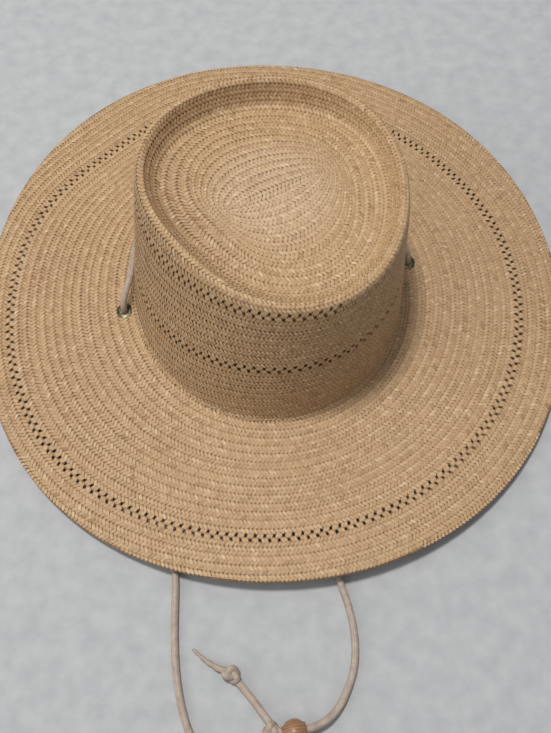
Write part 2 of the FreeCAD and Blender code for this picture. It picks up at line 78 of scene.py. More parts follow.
class Nodes:
    """A short way to write one procedural material."""

    def __init__(self, name):
        self.material = bpy.data.materials.new(name)
        self.material.use_nodes = True
        self.tree = self.material.node_tree
        self.shader = self.tree.nodes["Principled BSDF"]

    def add(self, kind, inputs=(), **settings):
        node = self.tree.nodes.new(kind)
        for key, value in settings.items():
            setattr(node, key, value)
        for key, value in dict(inputs).items():
            self.put(node.inputs[key], value)
        return node

    def put(self, socket, value):
        if isinstance(value, bpy.types.NodeSocket):
            self.tree.links.new(value, socket)
        elif isinstance(value, bpy.types.Node):
            self.tree.links.new(value.outputs[0], socket)
        else:
            socket.default_value = value

    def set(self, **inputs):
        for key, value in inputs.items():
            self.put(self.shader.inputs[key.replace("_", " ")], value)

    def noise(self, vector, scale, detail=3.0, roughness=0.5):
        return self.add("ShaderNodeTexNoise", {"Vector": vector, "Scale": scale, "Detail": detail,
                                               "Roughness": roughness}).outputs["Fac"]

    def ramp(self, value, stops):
        node = self.add("ShaderNodeValToRGB", {"Fac": value})
        elements = node.color_ramp.elements
        while len(elements) < len(stops):
            elements.new(0.5)
        for element, (place, colour) in zip(elements, stops):
            element.position = place
            element.color = (*colour, 1)
        return node.outputs["Color"]

    def math(self, operation, first, second=0.0):
        return self.add("ShaderNodeMath", {0: first, 1: second}, operation=operation).outputs[0]

    def mix(self, share, first, second, blend="MIX"):
        node = self.add("ShaderNodeMix", data_type="RGBA", blend_type=blend)
        self.put(node.inputs["Factor"], share)
        self.put(node.inputs["A"], first)
        self.put(node.inputs["B"], second)
        return node.outputs["Result"]

    def stretched(self, source, scale, shift=(0, 0, 0)):
        node = self.add("ShaderNodeMapping", {"Vector": source, "Scale": scale, "Location": shift})
        return node.outputs["Vector"]

    def coordinates(self, kind):
        return self.add("ShaderNodeTexCoord").outputs[kind]

    def attribute(self, name):
        return self.add("ShaderNodeAttribute", attribute_name=name).outputs["Fac"]

    def bump(self, height, strength, distance, below=None):
        node = self.add("ShaderNodeBump", {"Height": height, "Strength": strength, "Distance": distance})
        if below is not None:
            self.put(node.inputs["Normal"], below)
        return node.outputs["Normal"]


def grey(value):
    return (value, value, value)


TIP_HEART = (0.008, 0.006, 0.098)


def straw_material():
    """Flat straw strands: each its own tan, with fine fibres along it and a painted sheen that pales the tip's
    heart.
    """
    n = Nodes("straw")
    tone = n.attribute("tone")
    lanes = n.add("ShaderNodeCombineXYZ", {"X": n.math("MULTIPLY", tone, 37.0)}).outputs[0]
    along = n.stretched(n.coordinates("UV"), (0.25, 3.2, 1))
    fibre_place = n.add("ShaderNodeVectorMath", {0: along, 1: lanes}, operation="ADD").outputs[0]
    fibre = n.noise(fibre_place, 2.0, 3.0, 0.6)
    patches = n.noise(n.coordinates("Object"), 14.0, 2.0)
    value = n.math("ADD", n.math("MULTIPLY", tone, 0.66), n.math("MULTIPLY", fibre, 0.30))
    colour = n.ramp(value, [(0.08, (0.30, 0.18, 0.085)), (0.34, (0.45, 0.292, 0.155)),
                            (0.60, (0.53, 0.36, 0.20)), (0.92, (0.68, 0.52, 0.345))])
    warm = n.mix(n.math("MULTIPLY", patches, 0.5), colour, (0.66, 0.42, 0.20, 1), "MULTIPLY")
    away = n.add("ShaderNodeVectorMath", {0: n.coordinates("Object"), 1: TIP_HEART}, operation="DISTANCE")
    # Painted sheen: the straws round the tip's heart are mixed towards a pale tan.
    tip_heart_sheen = n.ramp(away.outputs["Value"], [(0.022, grey(0.30)), (0.046, grey(0))])
    pale = n.mix(n.math("MULTIPLY", tip_heart_sheen, fibre), n.mix(0.35, colour, warm), (0.86, 0.72, 0.58, 1))
    shaded = n.mix(n.math("MULTIPLY", n.attribute("depth"), 0.5), pale, (0.17, 0.09, 0.036, 1))
    n.set(Base_Color=shaded, Roughness=n.math("ADD", n.math("MULTIPLY", fibre, 0.25), 0.42),
          Specular_IOR_Level=0.42, Normal=n.bump(fibre, 0.5, 0.00018))
    return n.material


def ground_material():
    """The straw behind the top strands, seen in the gaps between them; its dark browns are painted shade of the
    gaps.
    """
    n = Nodes("straw_ground_painted_shade")
    weave = n.noise(n.coordinates("Object"), 900.0, 2.0)
    n.set(Base_Color=n.ramp(weave, [(0.3, (0.08, 0.04, 0.016)), (0.75, (0.22, 0.125, 0.058))]),
          Roughness=0.7, Normal=n.bump(weave, 0.5, 0.0003))
    return n.material


def cloth_material(name, dark, light, threads_per_metre):
    """Twill cloth: slanting threads across the surface, with a little fuzz."""
    n = Nodes(name)
    place = n.coordinates("UV")
    wave = n.add("ShaderNodeTexWave", {"Vector": place, "Scale": threads_per_metre / 6.28, "Distortion": 0.6,
                                       "Detail": 1.0, "Detail Scale": 2.0},
                 wave_type="BANDS", bands_direction="DIAGONAL").outputs["Fac"]
    fuzz = n.noise(n.coordinates("Object"), 1500.0, 3.0)
    stain = n.noise(n.coordinates("Object"), 30.0, 3.0)
    value = n.math("ADD", n.math("MULTIPLY", wave, 0.45),
                   n.math("ADD", n.math("MULTIPLY", fuzz, 0.35), n.math("MULTIPLY", stain, 0.3)))
    n.set(Base_Color=n.ramp(value, [(0.15, dark), (0.85, light)]), Roughness=0.88, Specular_IOR_Level=0.2,
          Sheen_Weight=0.25, Normal=n.bump(n.math("ADD", wave, fuzz), 0.55, 0.00025))
    return n.material


def thread_material():
    n = Nodes("sewing_thread")
    twist = n.add("ShaderNodeTexWave", {"Vector": n.coordinates("UV"), "Scale": 3.0, "Distortion": 0.4},
                  bands_direction="DIAGONAL").outputs["Fac"]
    n.set(Base_Color=n.ramp(twist, [(0.1, (0.42, 0.29, 0.15)), (0.9, (0.74, 0.60, 0.40))]),
          Roughness=0.75, Normal=n.bump(twist, 0.5, 0.0002))
    return n.material


def brass_material():
    """Antique brass: dark and greenish, brighter where it is rubbed."""
    n = Nodes("antique_brass")
    place = n.coordinates("Object")
    wear = n.noise(place, 420.0, 4.0, 0.6)
    pits = n.noise(place, 2600.0, 2.0)
    n.set(Base_Color=n.ramp(wear, [(0.32, (0.055, 0.054, 0.034)), (0.58, (0.14, 0.132, 0.08)),
                                   (0.82, (0.38, 0.34, 0.19))]),
          Metallic=0.95, Roughness=n.math("ADD", n.math("MULTIPLY", wear, -0.35), 0.52),
          Normal=n.bump(pits, 0.25, 0.0001))
    return n.material


def steel_material():
    n = Nodes("drawn_steel")
    lines = n.noise(n.stretched(n.coordinates("Object"), (1, 1, 9)), 900.0, 2.0)
    n.set(Base_Color=n.ramp(lines, [(0.3, grey(0.36)), (0.7, grey(0.62))]), Metallic=1.0,
          Roughness=n.math("ADD", n.math("MULTIPLY", lines, 0.2), 0.28), Normal=n.bump(lines, 0.2, 0.00005))
    return n.material


def cord_material(name, along):
    """Waxed cord: fine lengthwise grain in grey and beige, a little shiny, darker in patches."""
    n = Nodes(name)
    grain = n.noise(n.stretched(n.coordinates("UV"), along), 1.0, 4.0, 0.65)
    rub = n.noise(n.coordinates("Object"), 240.0, 4.0, 0.6)
    value = n.math("ADD", n.math("MULTIPLY", grain, 0.6), n.math("MULTIPLY", rub, 0.4))
    n.set(Base_Color=n.ramp(value, [(0.30, (0.21, 0.155, 0.118)), (0.48, (0.38, 0.31, 0.25)),
                                    (0.72, (0.54, 0.475, 0.415))]),
          Roughness=0.58, Specular_IOR_Level=0.35, Normal=n.bump(value, 0.5, 0.0004))
    return n.material


def wood_material():
    """Oiled wood: growth rings across the bead and dark pores along the grain."""
    n = Nodes("bead_wood")
    place = n.stretched(n.coordinates("Object"), (0.35, 1, 1), (0.004, 0.0021, 0.003))
    rings = n.add("ShaderNodeTexWave", {"Vector": place, "Scale": 210.0, "Distortion": 5.0, "Detail": 3.0,
                                        "Detail Scale": 1.2}, wave_type="RINGS",
                  rings_direction="X").outputs["Fac"]
    pores = n.noise(n.stretched(n.coordinates("Object"), (0.12, 1, 1)), 2600.0, 3.0)
    value = n.math("ADD", n.math("MULTIPLY", rings, 0.40), n.math("MULTIPLY", pores, 0.60))
    n.set(Base_Color=n.ramp(value, [(0.12, (0.16, 0.068, 0.031)), (0.42, (0.28, 0.143, 0.070)),
                                    (0.85, (0.36, 0.205, 0.112))]),
          Roughness=n.math("ADD", n.math("MULTIPLY", pores, 0.2), 0.34), Specular_IOR_Level=0.5,
          Coat_Weight=0.15, Coat_Roughness=0.3, Normal=n.bump(value, 0.25, 0.0002))
    return n.material


def floor_material():
    n = Nodes("pale_floor")
    speckle = n.noise(n.coordinates("Object"), 90.0, 4.0)
    n.set(Base_Color=n.ramp(speckle, [(0.3, (0.40, 0.415, 0.432)), (0.7, (0.47, 0.484, 0.500))]),
          Roughness=0.95, Specular_IOR_Level=0.1)
    return n.material


# ---------------------------------------------------------------- chin cord

CORD_DIAMETER_MM = 4.2
CORD_LEFT = [
    (-95.4, -3, 11), (-95.4, -3, 4.6), (-95.2, -11, 2.1), (-95, -26, 2.1), (-97, -55, 2.1),
    (-92, -95, 2.1), (-84, -137, 2.1), (-86.5, -178, 2.1), (-93, -215, 2.1), (-94.5, -243, 2.1),
    (-91, -266, 2.1), (-82, -283, 2.1), (-67, -289.5, 2.1), (-56, -284.5, 2.6), (-51, -273.5, 4.2),
]
CORD_RIGHT = [
    (95.4, -3, 11), (95.4, -3, 4.6), (95, -11, 2.1), (91, -26, 2.1), (81, -52, 2.1),
    (67, -90, 2.1), (41, -124, 2.1), (16, -156, 2.1), (5, -192, 2.1), (9.5, -220, 2.1),
    (6, -244, 2.1), (-2.5, -258.5, 2.3), (-10.5, -267.5, 4.4), (-21.5, -273.1, 7),
    (-43, -273.6, 7), (-48.5, -264, 4.2), (-55, -251.5, 2.1), (-62.5, -239.5, 3.4),
]
CORD_BACK = [
    (-95.4, -3, 11), (-95.4, -3, 19), (-91, 6, 24), (-87, 16, 22.5), (-84, 38, 17),
    (-73.5, 66, 13.9), (-53, 91, 13.9), (-23, 104, 13.9), (10, 107, 13.9), (42, 97.5, 13.9),
    (73, 66, 13.9), (85.5, 38, 17), (90, 20, 22), (93.5, 7, 24.5), (95.4, -3, 20),
    (95.4, -3, 11),
]
BEAD_MM, BEAD_TURN = (-35, -273.4, 7), 1.3
SLIP_KNOT_MM, SLIP_KNOT_TURN = (-47.3, -270.4, 5.4), 155
END_KNOT_MM, TIP_TURN = (-63.5, -238, 4.4), 139


def make_cord(name, route, material):
    data = bpy.data.curves.new(name, "CURVE")
    data.dimensions = "3D"
    data.bevel_depth = 1.0
    data.bevel_resolution = 6
    data.resolution_u = 10
    data.use_fill_caps = True
    spline = data.splines.new("NURBS")
    spline.points.add(len(route) - 1)
    for point, place in zip(spline.points, route):
        point.co = (*(value * MM for value in place), 1)
        point.radius = CORD_DIAMETER_MM / 2 * MM
    spline.order_u = 3
    spline.use_endpoint_u = True
    data.materials.append(material)
    cord = bpy.data.objects.new(name, data)
    scene.collection.objects.link(cord)
    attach(cord, "hat")
    return cord


def route_length(cord):
    """Length of the cord's smooth line, in metres."""
    radius = cord.data.bevel_depth
    cord.data.bevel_depth = 0
    line = bpy.data.meshes.new_from_object(cord)
    cord.data.bevel_depth = radius
    points = [vertex.co for vertex in line.vertices]
    return sum((after - before).length for before, after in zip(points, points[1:]))


# ---------------------------------------------------------------- mesh helpers

def make_mesh(name, vertices, faces, material, body="hat", smooth=True):
    """An object from vertices in millimetres."""
    mesh = bpy.data.meshes.new(name)
    mesh.from_pydata((np.asarray(vertices, float) * MM).tolist(), [], faces)
    mesh.update()
    if smooth:
        mesh.shade_smooth()
    mesh.materials.append(material)
    piece = bpy.data.objects.new(name, mesh)
    scene.collection.objects.link(piece)
    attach(piece, body)
    return piece


def set_uv(piece, per_vertex):
    layer = piece.data.uv_layers.new(name="UVMap")
    corners = np.empty(len(piece.data.loops), int)
    piece.data.loops.foreach_get("vertex_index", corners)
    layer.data.foreach_set("uv", np.asarray(per_vertex, float)[corners].ravel())


def set_value(piece, name, per_vertex):
    attribute = piece.data.attributes.new(name, "FLOAT", "POINT")
    attribute.data.foreach_set("value", np.asarray(per_vertex, float))


# ---------------------------------------------------------------- outlines of the woven body, in millimetres

STRAW = 1.2
BRIM_RADIUS, BRIM_ROOT, BRIM_EDGE = 198.5, 11.6, 4.1
FRONT_LIFT, LIFT_REACH = 9.5, 68
CROWN_TOP, CROWN_FOOT = 112, 10.4
RIM_SHIFT = (9, 6.4)
RIM_WIDTH, TIP_DEPTH, TIP_TILT = 6, 18, 0.36
RIM_RADIUS = 79.3
TIP_RINGS_INSET, TIP_RING_COUNT = 31, 47
TIP_SEAM_MM, TIP_SEAM_TURN = 27, math.radians(17)
TURNS = 720
ANGLES = np.arange(TURNS) * 2 * math.pi / TURNS


def edge_radius(angle):
    """The brim's edge is a little uneven: it comes in at the left and at the back right."""
    shift = 2.0 * np.cos(angle - math.radians(-11))
    oval = 3.0 * np.cos(2 * (angle - math.radians(101)))
    corners = 1.1 * np.cos(3 * (angle - math.radians(-13))) + 1.5 * np.cos(4 * (angle - math.radians(33)))
    return BRIM_RADIUS - 1.9 + shift + oval + corners


def base_radius(angle):
    return 93.7 * (1 - 0.062 * np.cos(2 * angle))


def rim_radius(angle):
    oval = 0.064 * np.cos(2 * (angle - math.radians(114)))
    dent = 0.037 * np.cos(3 * (angle - math.radians(33)))
    return RIM_RADIUS * (1 + oval + dent)


def wall_place(rise, inset, angle):
    radius = base_radius(angle) * (1 - rise) + rim_radius(angle) * rise - inset
    return RIM_SHIFT[0] * rise + radius * np.cos(angle), RIM_SHIFT[1] * rise + radius * np.sin(angle)


def lift(angle):
    from_front = np.abs((np.degrees(angle) + 270) % 360 - 180)
    curl = np.cos(np.pi / 2 * np.minimum(from_front / LIFT_REACH, 1)) ** 2
    return FRONT_LIFT * curl


def brim_ring(share):
    root_x, root_y = wall_place(0, -0.1, ANGLES)
    edge_x, edge_y = edge_radius(ANGLES) * np.cos(ANGLES), edge_radius(ANGLES) * np.sin(ANGLES)
    height = BRIM_EDGE + (BRIM_ROOT - BRIM_EDGE) * share ** 0.9 + lift(ANGLES) * (1 - share) ** 1.3
    return np.stack([edge_x + (root_x - edge_x) * share, edge_y + (root_y - edge_y) * share, height], 1)


def crown_ring(rise, inset, height, sink):
    x, y = wall_place(rise, inset, ANGLES)
    back = (y - RIM_SHIFT[1]) / RIM_RADIUS
    return np.stack([x, y, height + sink * TIP_TILT * (1 - back)], 1)


def crown_knots():
    """The crown's profile from its foot into the tip: rise, inset, height, sink."""
    tip = CROWN_TOP - TIP_DEPTH
    half = RIM_WIDTH / 2
    knots = [(rise, 0, CROWN_FOOT + (CROWN_TOP - CROWN_FOOT) * rise, 0) for rise in (0, 0.5, 0.93)]
    for step in range(1, 6):
        around = math.pi * step / 6
        drop = half * (1 - math.sin(around))
        knots.append((1, half * (1 - math.cos(around)), CROWN_TOP - drop, drop if step > 3 else 0))
    inner = [(7, 106), (10, tip + 5), (12, tip + 1.8), (15, tip + 0.4), (TIP_RINGS_INSET, tip + 0.7)]
    return np.array(knots + [(1, inset, height, CROWN_TOP - height) for inset, height in inner], float)


def smoothed(rings, width):
    """The rings blurred from one to the next, keeping both ends."""
    reach = int(3 * width)
    weights = np.exp(-0.5 * (np.arange(-reach, reach + 1) / width) ** 2)
    weights /= weights.sum()
    before = 2 * rings[:1] - rings[reach:0:-1]
    after = 2 * rings[-1:] - rings[-2:-reach - 2:-1]
    padded = np.concatenate([before, rings, after])
    return sum(weight * padded[index:index + len(rings)] for index, weight in enumerate(weights))


def tip_rings(outer):
    """Rings that shrink from the tip's outer part to a straight seam along its middle."""
    middle = outer.mean(0)
    seam_way = np.array((math.cos(TIP_SEAM_TURN), math.sin(TIP_SEAM_TURN)))
    seam = TIP_SEAM_MM * np.cos(ANGLES - TIP_SEAM_TURN)[:, None] * seam_way
    rings = []
    for share in np.arange(1, TIP_RING_COUNT + 1) / TIP_RING_COUNT:
        flat = middle[:2] + (outer[:, :2] - middle[:2]) * (1 - share) + seam * share
        level = CROWN_TOP - TIP_DEPTH + 0.7 + 1.8 * share
        back = (flat[:, 1] - RIM_SHIFT[1]) / RIM_RADIUS
        height = level + (CROWN_TOP - level) * TIP_TILT * (1 - back)
        rings.append(np.column_stack([flat, height]))
    return rings


def woven_surface():
    """One ring for each millimetre from the brim's edge, up the crown and in to the tip's seam."""
    brim_length = 103
    rings = [brim_ring(step / brim_length) for step in range(brim_length)]
    knots = crown_knots()
    radius = 93.7 - 14.4 * knots[:, 0] - knots[:, 1]
    along = np.concatenate([[0], np.cumsum(np.hypot(np.diff(radius), np.diff(knots[:, 2])))])
    places = np.arange(0.5, along[-1], 1.0)
    columns = [np.interp(places, along, knots[:, column]) for column in range(4)]
    rings += [crown_ring(*row) for row in zip(*columns)]
    rings = smoothed(np.array(rings + tip_rings(rings[-1])), 1.3)
    near_foot = np.exp(-((np.arange(len(rings)) - brim_length) / 9.0) ** 2)[:, None, None]
    rings = rings * (1 - near_foot) + smoothed(rings, 3.5) * near_foot
    return rings, brim_length


SURFACE, FOOT = woven_surface()


def surface_normals(surface):
    around = np.roll(surface, -1, 1) - np.roll(surface, 1, 1)
    inwards = np.gradient(surface, axis=0)
    normal = np.cross(around, inwards)
    return normal / np.linalg.norm(normal, axis=2, keepdims=True)


class Skin:
    """A surface of rings that strands are laid on, found by distance along its profile and angle."""

    def __init__(self, rings):
        self.rings = rings
        self.normals = surface_normals(rings)
        spans = np.linalg.norm(np.roll(rings, -1, 1) - np.roll(rings, 1, 1), axis=2) / 2
        self.speeds = spans[..., None] * TURNS / (2 * math.pi)
        self.girth = spans.sum(1)

    def look_up(self, table, along, angle):
        row = np.clip(along, 0, len(self.rings) - 1.001)
        low = row.astype(int)
        part = (row - low)[..., None]
        turn = (angle / (2 * math.pi) * TURNS) % TURNS
        left = turn.astype(int) % TURNS
        side = (turn - np.floor(turn))[..., None]
        right = (left + 1) % TURNS
        near = table[low, left] * (1 - side) + table[low, right] * side
        far = table[low + 1, left] * (1 - side) + table[low + 1, right] * side
        return near * (1 - part) + far * part

    def place(self, along, angle, height):
        """Points height millimetres off the surface; past the first ring the surface goes on straight."""
        points = self.look_up(self.rings, along, angle)
        over = np.minimum(along, 0)[..., None]
        points = points + over * (self.look_up(self.rings, np.full_like(along, 1.0), angle)
                                  - self.look_up(self.rings, np.full_like(along, 0.0), angle))
        return points + self.look_up(self.normals, along, angle) * height[..., None]

    def speed(self, along, angle):
        """Millimetres along the ring for each radian."""
        return np.maximum(self.look_up(self.speeds, along, angle)[..., 0], 3.0)

    def radius(self, along):
        return np.interp(along, np.arange(len(self.girth)), self.girth) / (2 * math.pi)

    def spread(self, along, shares):
        """The angles at the given shares of a ring's girth."""
        speeds = self.speeds[int(np.clip(round(along), 0, len(self.rings) - 1)), :, 0]
        reach = np.concatenate([[0], np.cumsum(speeds)]) / speeds.sum()
        return np.interp(shares % 1, reach, np.linspace(0, 2 * math.pi, TURNS + 1))


BODY = Skin(SURFACE)


def wander(angle, seed, waves=5):
    """A slow closed wave round the hat, between about -1 and 1."""
    local = np.random.default_rng(seed)
    total = 0
    for wave in range(1, waves + 1):
        total = total + local.normal() / wave ** 0.7 * np.sin(wave * angle + local.uniform(0, 2 * math.pi))
    return total / 1.6


# ---------------------------------------------------------------- strands

STEPS_ALONG = np.array([-0.10, 0.18, 0.5, 0.82, 1.10])
STEPS_ACROSS = np.array([-1.0, 0.0, 1.0])


class Strands:
    """Short visible stretches of flat straw, gathered into one mesh."""

    def __init__(self):
        self.vertices = []
        self.tones = []
        self.depths = []
        self.uvs = []

    def lay(self, skin, start, end, half_width, crest=0.10, dips=(0.42, 0.16), side=1, arch=0.12, shade=0.5):
        """Lays one strand from each start to each end, given as arrays of (along, angle) places.

        Each strand's ends go down by dips, under the strands of the rings next to it.
        """
        count = len(start[0])
        speed = skin.speed((start[0] + end[0]) / 2, (start[1] + end[1]) / 2)
        run = end[0] - start[0]
        sweep = (end[1] - start[1]) * speed
        length = np.hypot(run, sweep)
        t = STEPS_ALONG[None, :, None]
        w = STEPS_ACROSS[None, None, :] * half_width[:, None, None]
        taper = 1 - 0.27 * np.abs(2 * t - 1) ** 3
        along = start[0][:, None, None] + run[:, None, None] * t - w * taper * (sweep / length)[:, None, None]
        angle = (start[1][:, None, None] + (end[1] - start[1])[:, None, None] * t
                 + w * taper * (run / length / speed)[:, None, None])
        rise = np.sin(np.pi * np.clip((t + 0.1) / 1.2, 0, 1)) ** 0.8
        dip = dips[0] + (dips[1] - dips[0]) * t
        level = rng.normal(0, 0.03, count)[:, None, None]
        height = -dip + (crest + dip) * rise - arch * np.abs(STEPS_ACROSS)[None, None, :] + level
        offset = height if side > 0 else -STRAW - height
        points = skin.place(along, angle, offset + 0 * along)
        if side < 0:
            points = points[:, :, ::-1]
        self.vertices.append(points.reshape(-1, 3))
        # Each strand's tone is random round its centre; in the herringbone bands that centre carries a painted
        # sheen.
        tone = np.clip(rng.normal(shade, 0.15, count), 0, 1)
        self.tones.append(np.repeat(tone, len(STEPS_ALONG) * len(STEPS_ACROSS)))
        depth = np.clip(1 - rise, 0, 1) * dip / max(dips) * np.ones_like(along)
        self.depths.append(depth.reshape(-1))
        uv = np.stack([t * length[:, None, None] + 0 * w, w + 0 * t], -1)
        self.uvs.append(uv.reshape(-1, 2))

    def make(self, name, material):
        vertices = np.concatenate(self.vertices)
        rows, columns = len(STEPS_ALONG), len(STEPS_ACROSS)
        cell = np.array([(r * columns + c, r * columns + c + 1, (r + 1) * columns + c + 1, (r + 1) * columns + c)
                         for r in range(rows - 1) for c in range(columns - 1)])
        starts = np.arange(len(vertices) // (rows * columns)) * rows * columns
        faces = (starts[:, None, None] + cell[None]).reshape(-1, 4)
        piece = make_mesh(name, round_eyelets(vertices), faces.tolist(), material)
        set_uv(piece, np.concatenate(self.uvs))
        set_value(piece, "tone", np.concatenate(self.tones))
        set_value(piece, "depth", np.concatenate(self.depths))
        return piece


EYELETS_MM = ((-95.4, -3), (95.4, -3))
EYELET_CLEAR_MM = 3.7


def round_eyelets(vertices):
    """Moves whatever would cross an eyelet's hole out to the hole's edge."""
    moved = np.array(vertices, float)
    low_enough = moved[:, 2] < 16
    for x, y in EYELETS_MM:
        offset = moved[:, :2] - (x, y)
        distance = np.linalg.norm(offset, axis=1)
        inside = (distance < EYELET_CLEAR_MM) & low_enough
        direction = offset[inside] / np.maximum(distance[inside], 0.01)[:, None]
        moved[inside, :2] = np.array((x, y)) + direction * EYELET_CLEAR_MM
    return moved


def hill(angle, middle, width):
    """A smooth hill round the hat, 1 at its middle; both in degrees."""
    away = (np.degrees(angle) - middle + 180) % 360 - 180
    return np.exp(-0.5 * (away / width) ** 2)


def band_warp(along, angle):
    """How far the brim's rings of weave lie off its edge: the edge cuts through them."""
    drift = (11.5 * hill(angle, 42, 26) + 12.0 * hill(angle, 122, 14) + 6.0 * hill(angle, 85, 25)
             + 3.5 * hill(angle, -58, 22) - 8.0 * hill(angle, 178, 26) - 4.0 * hill(angle, -148, 18))
    return drift * np.interp(along, (BRIM_VENT_AT + 7, FOOT), (1, 0))


def held_warp(warp, low, high):
    """A warp that is nothing at low and whole from high on, so that the ground still ends at its edge."""
    return lambda along, angle: warp(np.maximum(along, high), angle) * np.interp(along, (low, high), (0, 1))


def lay_band(strands, skin, low, high, pitch, slant, warp=None, side=1, width_share=0.505, edge=None, **shape):
    """One ring of slanting strands between two distances along the profile, cut off at the edge."""
    middle = (low + high) / 2
    count = max(int(round(2 * math.pi * float(skin.radius(middle)) / pitch)), 5)
    shares = (np.arange(count) + rng.uniform() + rng.uniform(-0.04, 0.04, count)) / count
    angle = skin.spread(middle, shares)
    sweep = slant / skin.speed(np.full(count, middle), angle) * (1 + rng.normal(0, 0.04, count))
    start_angle, end_angle = angle - sweep / 2, angle + sweep / 2
    start = low + rng.normal(0, 0.05, count)
    end = high + rng.normal(0, 0.05, count)
    if warp is not None:
        start = start + warp(start, start_angle)
        end = end + warp(end, end_angle)
    half = width_share * pitch * (high - low) / math.hypot(high - low, slant) * (1 + rng.normal(0, 0.03, count))
    if edge is not None:
        cut = np.clip((edge - start) / (end - start), 0, 1)
        start, start_angle = start + cut * (end - start), start_angle + cut * (end_angle - start_angle)
        kept = cut < 0.7
        start, start_angle, end, end_angle, half = (values[kept]
                                                    for values in (start, start_angle, end, end_angle, half))
    if len(start):
        strands.lay(skin, (start, start_angle), (end, end_angle), half, side=side, **shape)


# ---------------------------------------------------------------- the ground under the strands, with real vents

GROUND_TOP_MM, GROUND_THICKNESS_MM = 0.42, 0.42


class Ground:
    """A sheet in rows round the hat; a vent row has one slanting hole for every two columns."""

    def __init__(self, skin, columns, warp=None):
        self.skin = skin
        self.columns = columns
        self.warp = warp
        self.vertices = []
        self.faces = []
        self.angles = np.arange(columns) * 2 * math.pi / columns

    def row(self, along):
        start = len(self.vertices)
        path = np.full(self.columns, float(along))
        if self.warp is not None:
            path = path + self.warp(path, self.angles)
        points = self.skin.place(path, self.angles, np.full(self.columns, -GROUND_TOP_MM))
        self.vertices.extend(points.tolist())
        return start

    def strip(self, first, second):
        for column in range(self.columns):
            after = (column + 1) % self.columns
            self.faces.append((first + column, first + after, second + after, second + column))

    def vent_row(self, first, middle, last, offset, openness, slant):
        """Holes centred on every second column; each keeps a rim towards its eight neighbours."""
        for column in range(offset, self.columns + offset, 2):
            left, centre, right = (column % self.columns, (column + 1) % self.columns,
                                   (column + 2) % self.columns)
            border = [first + left, first + centre, first + right, middle + right,
                      last + right, last + centre, last + left, middle + left]
            open_share = openness(self.angles[centre]) * rng.uniform(0.72, 1.12)
            if openness(self.angles[centre]) < CLOSED_VENT:
                self.faces += [(first + left, first + centre, middle + centre, middle + left),
                               (first + centre, first + right, middle + right, middle + centre),
                               (middle + left, middle + centre, last + centre, last + left),
                               (middle + centre, middle + right, last + right, last + centre)]
                continue
            heart = np.array(self.vertices[middle + centre])
            thin, wide = 0.20, 0.50
            corner = (wide, thin) if slant > 0 else (thin, wide)
            reach = [corner[0], 0.90, corner[1], 0.37, corner[0], 0.90, corner[1], 0.37]
            hole = len(self.vertices)
            for index, share in zip(border, reach):
                point = heart + (np.array(self.vertices[index]) - heart) * min(share * open_share, 0.92)
                self.vertices.append(point.tolist())
            for side in range(8):
                after = (side + 1) % 8
                self.faces.append((border[side], border[after], hole + after, hole + side))

    def make(self, name, material):
        vertices = np.array(self.vertices)
        centres = np.array([vertices[list(face)].mean(0) for face in self.faces])
        keep = np.ones(len(self.faces), bool)
        for x, y in EYELETS_MM:
            keep &= (np.linalg.norm(centres[:, :2] - (x, y), axis=1) > EYELET_CLEAR_MM - 0.4) | (centres[:, 2] > 16)
        faces = [face for face, kept in zip(self.faces, keep) if kept]
        piece = make_mesh(name, round_eyelets(vertices), faces, material)
        mesh = bmesh.new()
        mesh.from_mesh(piece.data)
        bmesh.ops.delete(mesh, geom=[vertex for vertex in mesh.verts if not vertex.link_faces], context="VERTS")
        mesh.to_mesh(piece.data)
        mesh.free()
        solid = piece.modifiers.new("thickness", "SOLIDIFY")
        solid.thickness = GROUND_THICKNESS_MM * MM
        solid.offset = -1
        return piece


def join_into(target, part, keep_modifier_of_part=True):
    """Puts a finished mesh into another piece, so that both are one object."""
    if keep_modifier_of_part:
        shown = bpy.data.meshes.new_from_object(part.evaluated_get(bpy.context.evaluated_depsgraph_get()))
        part.modifiers.clear()
        part.data = shown
    with bpy.context.temp_override(active_object=target, selected_editable_objects=[target, part]):
        bpy.ops.object.join()


# ---------------------------------------------------------------- brim and crown

STRAND_PITCH = 2.5
BAND_WIDTH = 2.75
VENT_ROW_MM = 2.9
CLOSED_VENT = 0.35
BRIM_VENT_AT = 23.6
BRIM_VENT_PITCH = 5.7
BRIM_COLUMNS = 2 * round(2 * math.pi * (BRIM_RADIUS - BRIM_VENT_AT) / BRIM_VENT_PITCH)
CROWN_COLUMNS = 196
WALL_LENGTH = 103
WALL_VENTS_AT = (FOOT + 0.50 * WALL_LENGTH, FOOT + 0.92 * WALL_LENGTH)


def brim_openness(angle):
    return float(np.clip(1.0 - 0.45 * hill(angle, -50, 13) + 0.12 * wander(angle, 11, 9), 0.3, 1.1))


def wall_openness(angle):
    return float(np.clip(1.05 - 0.60 * hill(angle, -40, 28) + 0.12 * wander(angle, 12, 9), 0.25, 1.1))


def upper_wall_openness(angle):
    return float(np.clip(1.05 - 1.35 * hill(angle, -20, 46) + 0.12 * wander(angle, 13, 9), 0.0, 1.1))


def wall_warp(along, angle):
    """The crown's rings of weave dip towards the brim at the left."""
    share = np.interp(along - FOOT, (54, 98, 145), (1, 0.55, 0))
    return share * (0.6 * wander(angle, 21) - 22 * hill(angle, -170, 38))


def vent_edges(at):
    """The five rows of a double vent: three borders and two middles."""
    return [at, at + VENT_ROW_MM / 2, at + VENT_ROW_MM, at + 1.5 * VENT_ROW_MM, at + 2 * VENT_ROW_MM]


